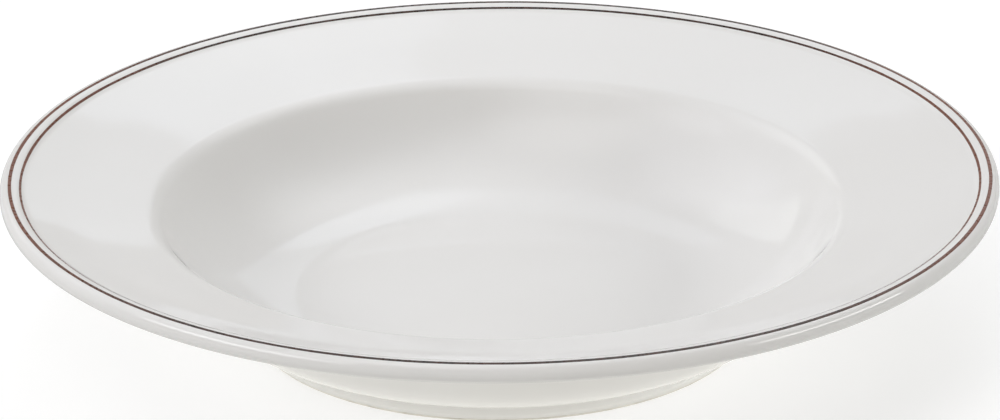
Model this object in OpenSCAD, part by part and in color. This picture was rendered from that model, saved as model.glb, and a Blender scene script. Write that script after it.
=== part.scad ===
// Rimmed soup plate in glazed porcelain, a solid of revolution about the Z axis.
// The origin lies on the table, at the centre of the foot ring. Sizes are in millimetres.
// The porcelain body carries one coat of glaze outside and one in the foot recess, with the
// bare bearing face of the foot ring between them, and two enamel lines lie on the lip.

/* [Overall] */
// Diameter over the lip
plate_d = 240; // [210:1:280]
// Height from the table to the crest of the lip
plate_h = 40; // [36:0.5:50]

/* [Rim] */
// Diameter at which the rim breaks into the well
well_mouth_d = 166; // [156:1:176]
// Slope of the rim's outer part, in degrees
rim_slope = 16; // [14:0.5:18]
// Slope of the rim's inner part, in degrees
rim_inner_slope = 12.5; // [9:0.5:13.5]
// Distance from the widest line of the lip to where the two parts meet
rim_bend_inset = 16; // [12:0.5:20]
// Radius of the curve between the two parts
rim_bend_r = 100; // [20:5:150]
// Thickness of the rim
rim_t = 4.3; // [3:0.1:6]
// Radius of the shoulder between the rim and the well
shoulder_r = 7; // [3:0.5:12]

/* [Lip] */
// Width of the lip, from its widest line to the start of the rim
lip_w = 6.1; // [5:0.1:9]
// Slope of the lip's inner side, in degrees
lip_slope = 30; // [22:1:42]
// Radius of the crest on its inner side
crest_r = 4.7; // [2:0.1:7]
// Radius of the nose, above the widest line
nose_r = 2.3; // [1.6:0.1:3]
// Radius of the edge, below the widest line
lip_edge_r = 2.3; // [1.4:0.1:2.8]
// Radius of the hollow between the lip and the rim
lip_hollow_r = 5; // [2:0.5:9]

/* [Well] */
// Thickness of the floor
floor_t = 5; // [3:0.1:7]
// Thickness of the wall
wall_t = 5; // [3.5:0.1:6.5]
// Steepest slope of the wall, in degrees
wall_slope = 53; // [48:1:64]
// Radius of the curve from the floor up the wall
bowl_r = 42; // [20:1:46]
// Radius of that curve on the underside
under_bowl_r = 32; // [16:1:40]

/* [Foot ring] */
// Outer diameter of the foot ring where it meets the table
foot_d = 121.8; // [100:0.2:130]
// Width of the foot ring where it meets the table
foot_w = 4.2; // [3:0.1:7]
// Height of the foot ring outside
foot_h = 4.6; // [3:0.1:7]
// Depth of the recess inside the foot ring
recess_h = 3.5; // [2:0.1:5]
// Draft of the foot ring's walls, in degrees
foot_draft = 4; // [0:0.5:10]
// Slope of the underside where it leaves the foot ring, in degrees
foot_flare = 12; // [6:1:20]
// Radius of the fillet above the foot ring
foot_fillet_r = 2.2; // [0.5:0.1:4]
// Radius of the fillet in the corner of the recess
recess_fillet_r = 2.4; // [0.5:0.1:4]
// Radius of the edges of the bearing face
bearing_edge_r = 0.7; // [0.2:0.1:1]

/* [Glaze] */
// Thickness of the glaze
glaze_t = 0.3; // [0.2:0.05:0.5]
// Height above the table at which the glaze stops
bare_h = 0.9; // [0.5:0.1:1.5]

/* [Enamel lines] */
// Distance from the widest line of the lip to the middle of the outer line
outer_line_inset = 2.3; // [1:0.1:4]
// Distance between the middles of the two lines
line_pitch = 2.5; // [1.5:0.1:5]
// Width of each line
line_w = 0.75; // [0.4:0.05:1.2]
// Thickness of each line
line_t = 0.06; // [0.04:0.01:0.15]

/* [Hidden] */

// Facets round the plate
$fn = 180;
// Most degrees that one step of a rounded corner turns
arc_step = 3;
// Least length of such a step, which keeps small corners coarse
least_chord = 0.25;
// Points closer than this are one point
same_point = 0.01;

plate_r = plate_d / 2;
foot_r = foot_d / 2;
well_mouth_r = well_mouth_d / 2;
floor_z = recess_h + floor_t;

// The point where a line through p at angle a meets a line through q at angle b
function meet(p, a, q, b) =
    let (u = [cos(a), sin(a)], v = [cos(b), sin(b)])
    p + u * cross(q - p, v) / cross(u, v);

// A step of length t from p, square to a line at angle a, to its right
function aside(p, a, t) = p + t * [sin(a), -cos(a)];

// Corners of the glazed surface, as points of the section [radius, height]
crest_corner = [plate_r - nose_r - crest_r * tan(lip_slope / 2), plate_h];
rim_start = meet(crest_corner, lip_slope, [plate_r - lip_w, 0], 90);
rim_bend = meet(rim_start, rim_slope, [plate_r - rim_bend_inset, 0], 90);
well_mouth = meet(rim_bend, rim_inner_slope, [well_mouth_r, 0], 90);
well_bend = meet(well_mouth, wall_slope, [0, floor_z], 0);
under_rim = aside(rim_start, rim_slope, rim_t);
under_inner_rim = aside(well_mouth, rim_inner_slope, rim_t);
under_rim_bend = meet(under_rim, rim_slope, under_inner_rim, rim_inner_slope);
under_wall = aside(well_mouth, wall_slope, wall_t);
lip_edge = meet(under_rim, rim_slope, [plate_r, 0], 90);
under_mouth = meet(under_inner_rim, rim_inner_slope, under_wall, wall_slope);
foot_top = [foot_r + foot_h * tan(foot_draft), foot_h];
under_bend = meet(foot_top, foot_flare, under_wall, wall_slope);
foot_glaze_end = [foot_r + bare_h * tan(foot_draft), bare_h];
recess_r = foot_r - foot_w;
recess_corner = [recess_r - recess_h * tan(foot_draft), recess_h];
recess_glaze_end = [recess_r - bare_h * tan(foot_draft), bare_h];

// A path is a list of [radius, height, radius of the rounding]
function place(c) = [c[0], c[1]];
function step(path, i) = place(path[i + 1]) - place(path[i]);
function bearing(path, i) = let (s = step(path, i)) atan2(s[1], s[0]);
function bend(path, i) =
    let (b = bearing(path, i) - bearing(path, i - 1))
    b > 180 ? b - 360 : b < -180 ? b + 360 : b;
function is_inner(path, i) = i > 0 && i < len(path) - 1;

// How far the rounding of corner i reaches along its two sides
function reach(path, i) = is_inner(path, i) ? path[i][2] * tan(abs(bend(path, i)) / 2) : 0;

// The share of a rounding that its sides leave room for
function room_share(path, i) = min(1,
    norm(step(path, i - 1)) / (reach(path, i - 1) + reach(path, i)),
    norm(step(path, i)) / (reach(path, i) + reach(path, i + 1)));

// The arc that rounds corner i, as points
function corner_arc(path, i) =
    let (
        r = path[i][2] * room_share(path, i),
        turned = bend(path, i),
        start = bearing(path, i - 1),
        side = sign(turned),
        first = place(path[i]) - r * tan(abs(turned) / 2) * [cos(start), sin(start)],
        centre = first + side * r * [-sin(start), cos(start)],
        steps = ceil(abs(turned) / max(arc_step, 2 * asin(least_chord / 2 / r)))
    )
    [for (k = [0:steps])
        let (a = start + turned * k / steps)
        centre + side * r * [sin(a), -cos(a)]];

// The rounded path, with no point twice
function rounded(path) =
    let (all = [for (i = [0:len(path) - 1])
        each is_inner(path, i) ? corner_arc(path, i) : [place(path[i])]])
    [for (i = [0:len(all) - 1]) if (i == 0 || norm(all[i] - all[i - 1]) > same_point) all[i]];

// The points moved by t to the left of the way they run
function inset(points, t) =
    let (last = len(points) - 1)
    [for (i = [0:last])
        let (
            a = max(i, 1),
            b = min(i, last - 1),
            u = (points[a] - points[a - 1]) / norm(points[a] - points[a - 1]),
            v = (points[b + 1] - points[b]) / norm(points[b + 1] - points[b]),
            m = (u + v) / norm(u + v)
        )
        points[i] + t / (m * u) * [-m[1], m[0]]];

function reversed(points) = [for (i = [len(points) - 1:-1:0]) points[i]];

// The glazed surface outside, from the foot ring over the lip to the middle of the well
outside = rounded([
    foot_glaze_end,
    [each foot_top, foot_fillet_r],
    [each under_bend, under_bowl_r],
    [each under_mouth, shoulder_r + rim_t],
    [each under_rim_bend, rim_bend_r + rim_t],
    [each lip_edge, lip_edge_r],
    [plate_r, plate_h, nose_r],
    [each crest_corner, crest_r],
    [each rim_start, lip_hollow_r],
    [each rim_bend, rim_bend_r],
    [each well_mouth, shoulder_r],
    [each well_bend, bowl_r],
    [0, floor_z]
]);

// The glazed surface of the recess, from its middle to the foot ring
recess = rounded([
    [0, recess_h],
    [each recess_corner, recess_fillet_r],
    recess_glaze_end
]);

// The body's surface under the glaze
body_outside = inset(outside, glaze_t);
body_recess = inset(recess, glaze_t);

// The bare foot ring, whose walls go on under the glaze down to the bearing face
body_foot = rounded([
    body_recess[len(body_recess) - 1],
    [recess_r + glaze_t / cos(foot_draft), 0, bearing_edge_r],
    [foot_r - glaze_t / cos(foot_draft), 0, bearing_edge_r],
    body_outside[0]
]);
bare_edge = [for (i = [1:len(body_foot) - 2]) body_foot[i]];

// The upper side of the plate, as a table of height against radius
upper_side = [for (i = [1:len(outside) - 1]) if (outside[i][0] < outside[i - 1][0]) outside[i]];

// The stretch of the upper side that a line centred at radius r covers
function under_line(r) =
    let (outer = r + line_w / 2, inner = r - line_w / 2)
    [
        [outer, lookup(outer, upper_side)],
        for (p = upper_side) if (p[0] < outer - same_point && p[0] > inner + same_point) p,
        [inner, lookup(inner, upper_side)]
    ];

// A ring whose section lies between a surface and the same surface moved by t to its left
module skin(surface, t) {
    rotate_extrude()
        polygon(concat(surface, reversed(inset(surface, t))));
}

module enamel_line(r) {
    color([0.36, 0.25, 0.20])
        skin(under_line(r), -line_t);
}

module plate_body() {
    color([0.90, 0.89, 0.86])
        rotate_extrude()
            polygon(concat(body_outside, body_recess, bare_edge));
}

module glaze_coat() {
    color([0.95, 0.95, 0.94])
        skin(outside, glaze_t);
}

module foot_recess_glaze() {
    color([0.93, 0.93, 0.92])
        skin(recess, glaze_t);
}

module outer_rim_line() {
    enamel_line(plate_r - outer_line_inset);
}

module inner_rim_line() {
    enamel_line(plate_r - outer_line_inset - line_pitch);
}

plate_body();
glaze_coat();
foot_recess_glaze();
outer_rim_line();
inner_rim_line();
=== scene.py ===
"""Looks of a rimmed soup plate in white glazed porcelain: glaze, enamel lines, light and camera.

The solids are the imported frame's. The glaze and the lines stand for their CAD nodes as finer
lathe-turned meshes, worked out from the same section sizes. Lengths are in metres.
"""

import bmesh
import bpy
import numpy as np
from mathutils import Matrix, Vector


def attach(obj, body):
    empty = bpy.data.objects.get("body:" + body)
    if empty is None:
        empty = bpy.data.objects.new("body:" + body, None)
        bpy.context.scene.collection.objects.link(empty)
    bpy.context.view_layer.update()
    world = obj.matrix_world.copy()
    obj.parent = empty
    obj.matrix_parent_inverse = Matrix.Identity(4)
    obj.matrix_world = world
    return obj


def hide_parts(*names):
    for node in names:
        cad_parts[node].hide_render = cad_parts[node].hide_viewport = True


MM = 0.001
WHITE = (1, 1, 1)
UP = (0, 0, 1)

# Section sizes of the plate, as its CAD model has them
PLATE_R = 120 * MM
PLATE_H = 40 * MM
WELL_MOUTH_R = 83 * MM
RIM_SLOPE = np.radians(16)
RIM_INNER_SLOPE = np.radians(12.5)
RIM_BEND_INSET = 16 * MM
RIM_BEND_R = 100 * MM
RIM_T = 4.3 * MM
SHOULDER_R = 7 * MM
LIP_W = 6.1 * MM
LIP_SLOPE = np.radians(30)
CREST_R = 4.7 * MM
NOSE_R = 2.3 * MM
LIP_EDGE_R = 2.3 * MM
LIP_HOLLOW_R = 5 * MM
FLOOR_T = 5 * MM
WALL_T = 5 * MM
WALL_SLOPE = np.radians(53)
BOWL_R = 42 * MM
UNDER_BOWL_R = 32 * MM
FOOT_R = 60.9 * MM
FOOT_W = 4.2 * MM
FOOT_H = 4.6 * MM
RECESS_H = 3.5 * MM
FOOT_DRAFT = np.radians(4)
FOOT_FLARE = np.radians(12)
FOOT_FILLET_R = 2.2 * MM
RECESS_FILLET_R = 2.4 * MM
GLAZE_T = 0.3 * MM
BARE_H = 0.9 * MM
LINE_INSET = 2.3 * MM
LINE_PITCH = 2.5 * MM

# Fineness of the meshes: angle and length of a step along the section, and steps round
ARC_STEP = np.radians(2)
SECTION_STEP = 1.6 * MM
ROUND_STEPS = 480
TURNS = np.linspace(0, 2 * np.pi, ROUND_STEPS, endpoint=False)
SAME_POINT = 0.004 * MM

# The hand-drawn lines, each with its radius, its width, how far its circle lies off the axis, and
# the seed of its waver
OUTER_LINE = (PLATE_R - LINE_INSET, 0.85 * MM, (0.18 * MM, -0.35 * MM), 3)
INNER_LINE = (PLATE_R - LINE_INSET - LINE_PITCH, 0.58 * MM, (0.18 * MM, -0.15 * MM), 8)

# What the lines share: the points across, in widths from the middle, how far they wander and
# swell, how far they rise over the glaze, and how often the waves of the waver go round
LINE_ACROSS = np.linspace(0.5, -0.5, 7)
LINE_WANDER = 0.05 * MM
LINE_SWELL = 0.06 * MM
LINE_RISE = 0.02 * MM
WAVE_COUNTS = (1, 2, 3, 5, 8, 13, 21, 34)

# The camera: where it aims, how far it stands, how high it looks from, its roll and its lens
AIM = Vector((0.1 * MM, 0, 28.8 * MM))
DISTANCE = 1300 * MM
ELEVATION = np.radians(21.97)
ROLL = np.radians(-0.5)
SENSOR_MM = 36
PHOTO_W = 1000
FOCAL_PX = 5383
CLIP_END = 100

# The span that most of a noise's values lie in, which a material uses unless it has its own
USUAL_SPAN = (0.3, 0.7)

# Noises of the materials: the size of their features, their detail and any stretch
CLOUDS = (45 * MM, 2)
HAZE = (9 * MM, 3)
SCUFFS = (1.1 * MM, 4, (1, 6, 1))
GLAZE_WAVES = (14 * MM, 1)
GLAZE_PEEL = (1.6 * MM, 2)
BRUSH_MARKS = (3 * MM, 4)
ENAMEL_SHEEN = (1.2 * MM, 3)
ENAMEL_GRAIN = (0.5 * MM, 3)
WEAR = (4 * MM, 5)
BARE_SHEEN = (1 * MM, 3)
BARE_GRIT = (0.3 * MM, 3)

# Glaze: index, tints, roughness of its haze and its scuffs, the span of the noise that shows as
# scuffs, and the depths of its relief
GLAZE_IOR = 1.5
GLAZE_LIGHT = (0.805, 0.802, 0.79)
GLAZE_DARK = (0.79, 0.785, 0.77)
HAZE_ROUGHNESS = (0.03, 0.07)
SCUFF_ROUGHNESS = (0, 0.06)
SCUFF_SPAN = (0.62, 0.8)
GLAZE_WAVE_DEPTH = 0.02 * MM
GLAZE_PEEL_DEPTH = 0.0012 * MM

# Enamel: tints, gloss, roughness and the depth of its relief; between which distances to the side
# it is painted lighter and redder as painted light, and by how much; and how much it thins in the
# marks of the brush, and their noise's span
ENAMEL_DARK = (0.025, 0.017, 0.013)
# The redder tint serves for thin enamel in the marks of the brush, and as painted light on the lines at
# the left and right
ENAMEL_LIT_AND_THIN = (0.17, 0.055, 0.03)
ENAMEL_GLOSS = 0.35
ENAMEL_ROUGHNESS = (0.2, 0.4)
ENAMEL_GRAIN_DEPTH = 0.004 * MM
LIT_SIDES_FROM_TO = (0.55 * PLATE_R, PLATE_R)
LIT_AT_SIDES = (0, 0.85)
THIN_IN_MARKS = (0, 0.3)
MARK_SPAN = (0.35, 0.75)

# Bare porcelain: tints, the span of the noise that shows as wear, roughness and depth of relief
BARE_LIGHT = (0.74, 0.72, 0.67)
BARE_WORN = (0.6, 0.58, 0.53)
WEAR_SPAN = (0.4, 0.75)
BARE_ROUGHNESS = (0.6, 0.85)
BARE_GRIT_DEPTH = 0.02 * MM

# Light, with its angles in degrees: soft-edged windows, each with its azimuth and elevation, its
# width, height and softness over its distance, and its radiance; crisp upright panes, each with
# the azimuths and the elevations that it spans, its softness and its radiance; and washes, each
# with the way it is strongest from and its radiance there, fading to nothing a right angle off
WINDOWS = {
    "left_box": (207.1, 30.1, 0.94, 0.3, 0.04, (3.43, 3.45, 3.5)),
    "left_glow": (206.7, 32.5, 0.61, 0.33, 0.09, (1.37, 1.38, 1.42)),
    "left_high": (168.6, 44.3, 1.16, 0.615, 0.187, (0.84, 0.84, 0.9)),
    "left_low": (163, 8, 0.4, 0.2, 0.05, (0.62, 0.62, 0.62)),
    "left_back": (136, 12, 0.4, 0.3, 0.06, (0.18, 0.18, 0.17)),
    "back_high": (60.7, 68.7, 0.68, 1.04, 0.28, (1.28, 1.3, 1.34)),
    "front_high": (232.4, 65.7, 0.57, 0.58, 0.22, (1.86, 1.85, 1.86)),
    "right_box": (351, 21.5, 0.74, 0.2, 0.04, (6.6, 6.6, 6.55)),
    "front_strip": (274, 4, 1.7, 0.125, 0.03, (1.75, 1.74, 1.7)),
}
PANES = {
    "back": (73, 87, 32, 60, 0.01, (0.78, 0.86, 0.96)),
    "back_low": (73, 87, 14, 32, 0.01, (0.33, 0.36, 0.4)),
    "back_dim": (87, 108, 32, 60, 0.01, (0.33, 0.37, 0.41)),
    "far_left": (116, 133, 15, 42, 0.01, (0.56, 0.58, 0.57)),
}
WASHES = {
    "back": ((0, 1, 0), (0.652, 0.634, 0.61)),
    "front": ((0, -1, 0), (0.16, 0.133, 0.1)),
}

# The least cosine between a way and the axis of a window or pane at which that still gives light
FACING_LEAST = 0.05

# The floor: half its side, its albedo, the strength of its glow far off and at the foot, how far
# from the axis the pool of light at the foot reaches, the tint of that glow, and the strength of
# its glow to the camera
FLOOR_HALF = 30
FLOOR_ALBEDO = 0.5
FLOOR_GLOW = 0.217
FLOOR_POOL = 0.645
POOL_REACH = 150 * MM
FLOOR_TINT = (1.01, 1, 0.945)
FLOOR_SEEN = 0.58


def meet(p, a, q, b):
    """The point where a line through p at angle a meets a line through q at angle b."""
    u = np.array([np.cos(a), np.sin(a)])
    v = np.array([np.cos(b), np.sin(b)])
    d = np.subtract(q, p)
    return p + u * (d[0] * v[1] - d[1] * v[0]) / (u[0] * v[1] - u[1] * v[0])


def aside(p, a, t):
    """A step of length t from p, square to a line at angle a, to its right."""
    return p + t * np.array([np.sin(a), -np.cos(a)])


def rounded(corners):
    """The points of a path whose corners (radius, height, rounding) are rounded by arcs."""
    places = np.array([c[:2] for c in corners], float)
    radii = np.array([c[2] if len(c) > 2 else 0 for c in corners], float)
    sides = np.diff(places, axis=0)
    lengths = np.hypot(*sides.T)
    angles = np.arctan2(sides[:, 1], sides[:, 0])
    bends = (np.diff(angles) + np.pi) % (2 * np.pi) - np.pi
    reaches = np.concatenate([[0], radii[1:-1] * np.tan(np.abs(bends) / 2), [0]])
    shares = np.minimum(1, lengths / (reaches[:-1] + reaches[1:]))
    points = [places[0]]
    for i, turn in enumerate(bends, start=1):
        r = radii[i] * min(shares[i - 1], shares[i])
        heading = angles[i - 1]
        along = np.array([np.cos(heading), np.sin(heading)])
        left = np.array([-along[1], along[0]]) * np.sign(turn)
        centre = places[i] - r * np.tan(abs(turn) / 2) * along + r * left
        steps = int(np.ceil(abs(turn) / ARC_STEP))
        for k in range(steps + 1):
            a = heading + turn * k / steps
            points.append(centre + np.sign(turn) * r * np.array([np.sin(a), -np.cos(a)]))
    points.append(places[-1])
    return refined(np.array(points))


def refined(points):
    """The same path with no point twice and no stretch longer than a section step."""
    out = [points[0]]
    for p in points[1:]:
        gap = np.hypot(*(p - out[-1]))
        if gap > SAME_POINT:
            steps = int(np.ceil(gap / SECTION_STEP))
            start = out[-1]
            out += [start + (p - start) * k / steps for k in range(1, steps + 1)]
    return np.array(out)


def inset(points, t):
    """The points moved by t to the left of the way they run."""
    way = np.diff(points, axis=0)
    way /= np.hypot(*way.T)[:, None]
    before = np.vstack([way[:1], way])
    after = np.vstack([way, way[-1:]])
    mean = before + after
    mean /= np.hypot(*mean.T)[:, None]
    stretch = t / (mean * before).sum(1)
    return points + stretch[:, None] * np.stack([-mean[:, 1], mean[:, 0]], 1)


def glazed_sections():
    """The glazed surface outside, from the foot to the middle of the well, and in the recess."""
    floor_z = RECESS_H + FLOOR_T
    crest = np.array([PLATE_R - NOSE_R - CREST_R * np.tan(LIP_SLOPE / 2), PLATE_H])
    rim_start = meet(crest, LIP_SLOPE, (PLATE_R - LIP_W, 0), np.pi / 2)
    rim_bend = meet(rim_start, RIM_SLOPE, (PLATE_R - RIM_BEND_INSET, 0), np.pi / 2)
    mouth = meet(rim_bend, RIM_INNER_SLOPE, (WELL_MOUTH_R, 0), np.pi / 2)
    bend = meet(mouth, WALL_SLOPE, (0, floor_z), 0)
    under_rim = aside(rim_start, RIM_SLOPE, RIM_T)
    under_inner = aside(mouth, RIM_INNER_SLOPE, RIM_T)
    under_rim_bend = meet(under_rim, RIM_SLOPE, under_inner, RIM_INNER_SLOPE)
    under_wall = aside(mouth, WALL_SLOPE, WALL_T)
    lip_edge = meet(under_rim, RIM_SLOPE, (PLATE_R, 0), np.pi / 2)
    under_mouth = meet(under_inner, RIM_INNER_SLOPE, under_wall, WALL_SLOPE)
    lean = np.tan(FOOT_DRAFT)
    foot_top = np.array([FOOT_R + FOOT_H * lean, FOOT_H])
    under_bend = meet(foot_top, FOOT_FLARE, under_wall, WALL_SLOPE)
    recess_r = FOOT_R - FOOT_W
    outside = rounded([
        (FOOT_R + BARE_H * lean, BARE_H),
        (*foot_top, FOOT_FILLET_R),
        (*under_bend, UNDER_BOWL_R),
        (*under_mouth, SHOULDER_R + RIM_T),
        (*under_rim_bend, RIM_BEND_R + RIM_T),
        (*lip_edge, LIP_EDGE_R),
        (PLATE_R, PLATE_H, NOSE_R),
        (*crest, CREST_R),
        (*rim_start, LIP_HOLLOW_R),
        (*rim_bend, RIM_BEND_R),
        (*mouth, SHOULDER_R),
        (*bend, BOWL_R),
        (0, floor_z),
    ])
    recess = rounded([
        (0, RECESS_H),
        (recess_r - RECESS_H * lean, RECESS_H, RECESS_FILLET_R),
        (recess_r - BARE_H * lean, BARE_H),
    ])
    return outside, recess


def lathe(name, sections):
    """A closed mesh turned from a closed section of points (radius, height), or one for each turn."""
    sections = np.broadcast_to(sections, (ROUND_STEPS, *np.shape(sections)[-2:]))
    bm = bmesh.new()
    rings = []
    for ring in sections.transpose(1, 0, 2):
        if ring[0, 0] < SAME_POINT:
            rings.append([bm.verts.new((0, 0, ring[0, 1]))])
        else:
            places = [(r * np.cos(a), r * np.sin(a), z) for (r, z), a in zip(ring, TURNS)]
            rings.append([bm.verts.new(place) for place in places])
    for one, two in zip(rings, rings[1:] + rings[:1]):
        for k in range(ROUND_STEPS):
            corners = [one[k % len(one)], one[(k + 1) % len(one)]]
            corners += [two[(k + 1) % len(two)], two[k % len(two)]]
            face = list(dict.fromkeys(corners))
            if len(face) > 2:
                bm.faces.new(face)
    bmesh.ops.recalc_face_normals(bm, faces=bm.faces)
    mesh = bpy.data.meshes.new(name)
    bm.to_mesh(mesh)
    bm.free()
    mesh.shade_smooth()
    piece = bpy.data.objects.new(name, mesh)
    bpy.context.scene.collection.objects.link(piece)
    return piece


def skin(surface, t):
    """The closed section between a surface and the same surface moved by t to its left."""
    return np.vstack([surface, inset(surface, t)[::-1]])


def waves(rng, most):
    """A smooth value for each turn, made of random waves, that stays within the given most."""
    total = np.zeros(ROUND_STEPS)
    for count in WAVE_COUNTS:
        total += rng.normal() * np.cos(count * TURNS + rng.uniform(0, 2 * np.pi))
    return most * total / np.abs(total).max()


def brushed_line(outside, r, width, off, seed):
    """For each turn, the section of an enamel line near radius r, as a brush held by hand leaves it."""
    falls = np.diff(outside[:, 0], prepend=0) < 0
    upper = outside[falls][::-1]
    rng = np.random.default_rng(seed)
    middles = r + off[0] * np.cos(TURNS) + off[1] * np.sin(TURNS) + waves(rng, LINE_WANDER)
    widths = width + waves(rng, LINE_SWELL)
    sections = []
    for middle, wide in zip(middles, widths):
        radii = middle + wide * LINE_ACROSS
        surface = np.stack([radii, np.interp(radii, upper[:, 0], upper[:, 1])], 1)
        sections.append(skin(surface, -LINE_RISE))
    return np.array(sections)


def new_material(name):
    """A node material, its tree and its shader."""
    made = bpy.data.materials.new(name)
    made.use_nodes = True
    tree = made.node_tree
    return made, tree, tree.nodes["Principled BSDF"]


def feed(tree, value, socket):
    """Links an input to a socket, or sets it to a plain value."""
    if isinstance(value, bpy.types.NodeSocket):
        tree.links.new(value, socket)
    else:
        socket.default_value = (*value, 1) if socket.type == "RGBA" else value


def math_node(tree, operation, *values, clamp=False):
    """A math node on values or sockets, and its output."""
    made = tree.nodes.new("ShaderNodeMath")
    made.operation = operation
    made.use_clamp = clamp
    for socket, value in zip(made.inputs, values):
        feed(tree, value, socket)
    return made.outputs[0]


def vector_math(tree, operation, *values):
    """A vector math node, and its output: a number for a dot product or a length."""
    made = tree.nodes.new("ShaderNodeVectorMath")
    made.operation = operation
    for socket, value in zip(made.inputs, values):
        feed(tree, value, socket)
    return made.outputs["Value" if operation in ("DOT_PRODUCT", "LENGTH") else "Vector"]


def ramp(tree, value, start, end, low, high, kind="LINEAR"):
    """A value brought from start..end to low..high, and kept there."""
    made = tree.nodes.new("ShaderNodeMapRange")
    made.interpolation_type = kind
    for name, limit in zip(("From Min", "From Max", "To Min", "To Max"), (start, end, low, high)):
        made.inputs[name].default_value = limit
    tree.links.new(value, made.inputs["Value"])
    return made.outputs["Result"]


def smooth_ramp(tree, value, start, end, low, high):
    """The same, with soft ends."""
    return ramp(tree, value, start, end, low, high, "SMOOTHSTEP")


def between(tree, share, one, two):
    """The first colour where the share is nothing, the second where it is one, or their mix."""
    made = tree.nodes.new("ShaderNodeMix")
    made.data_type = "RGBA"
    tree.links.new(share, made.inputs["Factor"])
    for socket, colour in zip([i for i in made.inputs if i.type == "RGBA"], (one, two)):
        feed(tree, colour, socket)
    return next(o for o in made.outputs if o.type == "RGBA")


def noise(tree, feature, detail, stretch=(1, 1, 1)):
    """Noise over the object's own coordinates, whose features are about as large as given."""
    place = tree.nodes.new("ShaderNodeTexCoord")
    sized = tree.nodes.new("ShaderNodeMapping")
    sized.inputs["Scale"].default_value = stretch
    made = tree.nodes.new("ShaderNodeTexNoise")
    made.inputs["Scale"].default_value = 1 / feature
    made.inputs["Detail"].default_value = detail
    tree.links.new(place.outputs["Object"], sized.inputs["Vector"])
    tree.links.new(sized.outputs["Vector"], made.inputs["Vector"])
    return made.outputs["Fac"]


def bumps(tree, shader, *layers):
    """Relief on a shader, from pairs of a noise and its depth in metres."""
    below = None
    for layer, depth in layers:
        made = tree.nodes.new("ShaderNodeBump")
        made.inputs["Distance"].default_value = depth
        tree.links.new(noise(tree, *layer), made.inputs["Height"])
        if below is not None:
            tree.links.new(below, made.inputs["Normal"])
        below = made.outputs["Normal"]
    tree.links.new(below, shader.inputs["Normal"])


def glaze_material():
    """White porcelain under clear glaze: glossy, a little wavy, with the faintest marks of use."""
    made, tree, shader = new_material("white_glaze")
    shader.inputs["IOR"].default_value = GLAZE_IOR
    cloud = ramp(tree, noise(tree, *CLOUDS), *USUAL_SPAN, 0, 1)
    feed(tree, between(tree, cloud, GLAZE_LIGHT, GLAZE_DARK), shader.inputs["Base Color"])
    haze = ramp(tree, noise(tree, *HAZE), *USUAL_SPAN, *HAZE_ROUGHNESS)
    scuffs = ramp(tree, noise(tree, *SCUFFS), *SCUFF_SPAN, *SCUFF_ROUGHNESS)
    feed(tree, math_node(tree, "ADD", haze, scuffs), shader.inputs["Roughness"])
    bumps(tree, shader, (GLAZE_WAVES, GLAZE_WAVE_DEPTH), (GLAZE_PEEL, GLAZE_PEEL_DEPTH))
    return made


def enamel_material():
    """Fired dark brown enamel, painted lighter and redder towards the left and right as painted light,
    and thinner and redder where the brush ran dry.
    """
    made, tree, shader = new_material("brown_enamel")
    shader.inputs["IOR"].default_value = GLAZE_IOR
    shader.inputs["Specular IOR Level"].default_value = ENAMEL_GLOSS
    place = tree.nodes.new("ShaderNodeTexCoord").outputs["Object"]
    side = math_node(tree, "ABSOLUTE", vector_math(tree, "DOT_PRODUCT", place, (1, 0, 0)))
    # Painted light: the enamel is made lighter and redder towards the left and right of the plate
    lit_sides_and_thin = smooth_ramp(tree, side, *LIT_SIDES_FROM_TO, *LIT_AT_SIDES)
    dry = ramp(tree, noise(tree, *BRUSH_MARKS), *MARK_SPAN, *THIN_IN_MARKS)
    lit_sides_and_thin = math_node(tree, "ADD", lit_sides_and_thin, dry, clamp=True)
    feed(tree, between(tree, lit_sides_and_thin, ENAMEL_DARK, ENAMEL_LIT_AND_THIN), shader.inputs["Base Color"])
    sheen = ramp(tree, noise(tree, *ENAMEL_SHEEN), *USUAL_SPAN, *ENAMEL_ROUGHNESS)
    feed(tree, sheen, shader.inputs["Roughness"])
    bumps(tree, shader, (ENAMEL_GRAIN, ENAMEL_GRAIN_DEPTH))
    return made


def bare_material():
    """Bare fired porcelain: matt, slightly gritty, greyed where it has stood on tables."""
    made, tree, shader = new_material("bare_porcelain")
    worn = ramp(tree, noise(tree, *WEAR), *WEAR_SPAN, 0, 1)
    feed(tree, between(tree, worn, BARE_LIGHT, BARE_WORN), shader.inputs["Base Color"])
    sheen = ramp(tree, noise(tree, *BARE_SHEEN), *USUAL_SPAN, *BARE_ROUGHNESS)
    feed(tree, sheen, shader.inputs["Roughness"])
    bumps(tree, shader, (BARE_GRIT, BARE_GRIT_DEPTH))
    return made


def place_camera():
    """The camera at the photograph's angle."""
    forward = Vector((0, np.cos(ELEVATION), -np.sin(ELEVATION)))
    right = Vector((1, 0, 0))
    up = right.cross(forward)
    rolled = np.cos(ROLL) * right + np.sin(ROLL) * up
    rolled_up = np.cos(ROLL) * up - np.sin(ROLL) * right
    data = bpy.data.cameras.new("camera")
    data.sensor_width = SENSOR_MM
    data.lens = FOCAL_PX * SENSOR_MM / PHOTO_W
    data.clip_end = CLIP_END
    camera = bpy.data.objects.new("camera", data)
    turned = Matrix((rolled, rolled_up, -forward)).transposed().to_4x4()
    camera.matrix_world = Matrix.Translation(AIM - DISTANCE * forward) @ turned
    bpy.context.scene.collection.objects.link(camera)
    bpy.context.scene.camera = camera


def in_front(tree, way, axis):
    """One where a way faces an axis and nothing elsewhere, and how squarely it does, to divide by."""
    ahead = vector_math(tree, "DOT_PRODUCT", way, axis)
    faces = math_node(tree, "GREATER_THAN", ahead, FACING_LEAST)
    return faces, math_node(tree, "MAXIMUM", ahead, FACING_LEAST)


def band(tree, way, side, facing, half, softness):
    """One where a way lies less than half a width off to the side, fading to nothing beyond."""
    off = math_node(tree, "ABSOLUTE", vector_math(tree, "DOT_PRODUCT", way, side))
    off = math_node(tree, "DIVIDE", off, facing)
    return smooth_ramp(tree, off, half - softness, half + softness, 1, 0)


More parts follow.
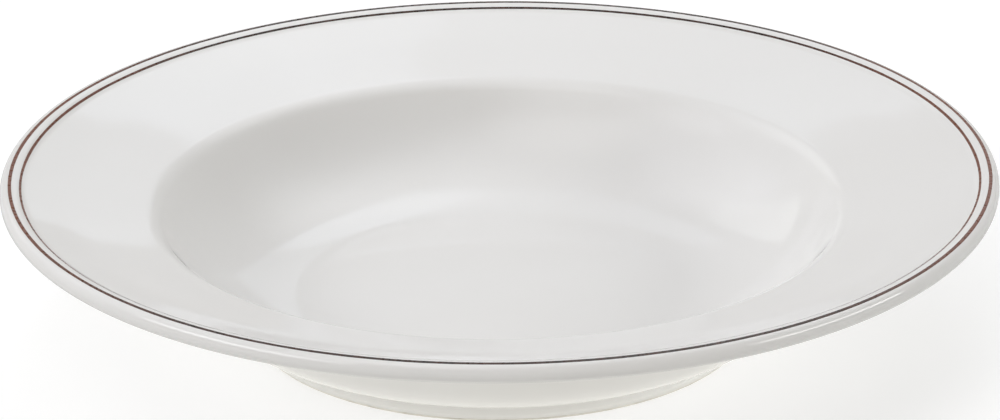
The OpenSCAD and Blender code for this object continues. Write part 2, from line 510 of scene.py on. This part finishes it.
def window(tree, way, azimuth, elevation, width, height, softness):
    """How much of a window's light comes from a way: one inside it, fading to nothing at its edge."""
    a, e = np.radians(azimuth), np.radians(elevation)
    axis = Vector((np.cos(e) * np.cos(a), np.cos(e) * np.sin(a), np.sin(e)))
    across = Vector((-np.sin(a), np.cos(a), 0))
    share, facing = in_front(tree, way, axis)
    for side, size in ((across, width), (axis.cross(across), height)):
        inside = band(tree, way, side, facing, size / 2, softness)
        share = math_node(tree, "MULTIPLY", share, inside)
    return share


def pane(tree, way, start, end, low, high, softness):
    """How much of an upright pane's light comes from a way, between azimuths and elevations."""
    a, half = np.radians((start + end) / 2), np.radians((end - start) / 2)
    share, facing = in_front(tree, way, (np.cos(a), np.sin(a), 0))
    across = (-np.sin(a), np.cos(a), 0)
    inside = band(tree, way, across, facing, np.tan(half), softness)
    height = vector_math(tree, "DOT_PRODUCT", way, UP)
    for limit, below, above in ((low, 0, 1), (high, 1, 0)):
        at = np.sin(np.radians(limit))
        edge = smooth_ramp(tree, height, at - softness, at + softness, below, above)
        inside = math_node(tree, "MULTIPLY", inside, edge)
    return math_node(tree, "MULTIPLY", share, inside)


def light_scene():
    """A soft studio round the plate: washes, windows and panes of light, and white to the camera."""
    world = bpy.data.worlds.new("studio")
    world.use_nodes = True
    bpy.context.scene.world = world
    tree = world.node_tree
    way = tree.nodes.new("ShaderNodeTexCoord").outputs["Generated"]
    glow = (0, 0, 0)
    for axis, radiance in WASHES.values():
        share = math_node(tree, "MAXIMUM", vector_math(tree, "DOT_PRODUCT", way, axis), 0)
        glow = vector_math(tree, "MULTIPLY_ADD", share, radiance, glow)
    for lights, shape in ((WINDOWS, window), (PANES, pane)):
        for *place, radiance in lights.values():
            glow = vector_math(tree, "MULTIPLY_ADD", shape(tree, way, *place), radiance, glow)
    seen = tree.nodes.new("ShaderNodeLightPath").outputs["Is Camera Ray"]
    tree.links.new(between(tree, seen, glow, WHITE), tree.nodes["Background"].inputs["Color"])


def floor():
    """A pale one-sided floor, white to the camera, that keeps the plate's shadow."""
    mesh = bpy.data.meshes.new("floor")
    h = FLOOR_HALF
    mesh.from_pydata([(-h, -h, 0), (h, -h, 0), (h, h, 0), (-h, h, 0)], [], [(0, 1, 2, 3)])
    made = bpy.data.objects.new("floor", mesh)
    bpy.context.scene.collection.objects.link(made)
    material, tree, shader = new_material("floor")
    feed(tree, (FLOOR_ALBEDO, FLOOR_ALBEDO, FLOOR_ALBEDO), shader.inputs["Base Color"])
    shader.inputs["Roughness"].default_value = 1
    shader.inputs["Specular IOR Level"].default_value = 0
    path = tree.nodes.new("ShaderNodeLightPath").outputs
    seen = math_node(tree, "MAXIMUM", path["Is Camera Ray"], path["Is Transmission Ray"])
    place = tree.nodes.new("ShaderNodeNewGeometry").outputs
    off = vector_math(tree, "LENGTH", place["Position"])
    near = smooth_ramp(tree, off, FOOT_R, POOL_REACH, FLOOR_POOL, FLOOR_GLOW)
    glow = tree.nodes.new("ShaderNodeMix")
    tree.links.new(seen, glow.inputs["Factor"])
    tree.links.new(near, glow.inputs["A"])
    glow.inputs["B"].default_value = FLOOR_SEEN
    tree.links.new(glow.outputs["Result"], shader.inputs["Emission Strength"])
    feed(tree, between(tree, seen, FLOOR_TINT, WHITE), shader.inputs["Emission Color"])
    clear = tree.nodes.new("ShaderNodeBsdfTransparent")
    sides = tree.nodes.new("ShaderNodeMixShader")
    tree.links.new(place["Backfacing"], sides.inputs[0])
    tree.links.new(shader.outputs[0], sides.inputs[1])
    tree.links.new(clear.outputs[0], sides.inputs[2])
    tree.links.new(sides.outputs[0], tree.nodes["Material Output"].inputs["Surface"])
    mesh.materials.append(material)


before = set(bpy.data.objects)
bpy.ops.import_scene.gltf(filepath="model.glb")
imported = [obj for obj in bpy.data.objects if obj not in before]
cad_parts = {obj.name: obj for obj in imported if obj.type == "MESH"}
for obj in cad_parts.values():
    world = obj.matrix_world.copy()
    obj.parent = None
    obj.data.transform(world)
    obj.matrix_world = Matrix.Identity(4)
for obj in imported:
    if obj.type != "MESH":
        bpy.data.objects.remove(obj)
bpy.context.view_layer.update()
place_camera()

outside, recess = glazed_sections()
glaze = glaze_material()
enamel = enamel_material()
pieces = (
    ("glaze_skin", skin(outside, GLAZE_T), "glaze_coat", "white_glaze", glaze),
    ("recess_skin", skin(recess, GLAZE_T), "foot_recess_glaze", "white_glaze", glaze),
    ("outer_line", brushed_line(outside, *OUTER_LINE), "outer_rim_line", "brown_enamel", enamel),
    ("inner_line", brushed_line(outside, *INNER_LINE), "inner_rim_line", "brown_enamel", enamel),
)
for name, sections, node, slot, material in pieces:
    piece = lathe(name, sections)
    piece.data.materials.append(material)
    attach(piece, "root")
    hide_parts(node)

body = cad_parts["plate_body"]
body.data.materials.clear()
body.data.materials.append(bare_material())

floor()
light_scene()
bpy.context.scene.view_settings.view_transform = "Standard"
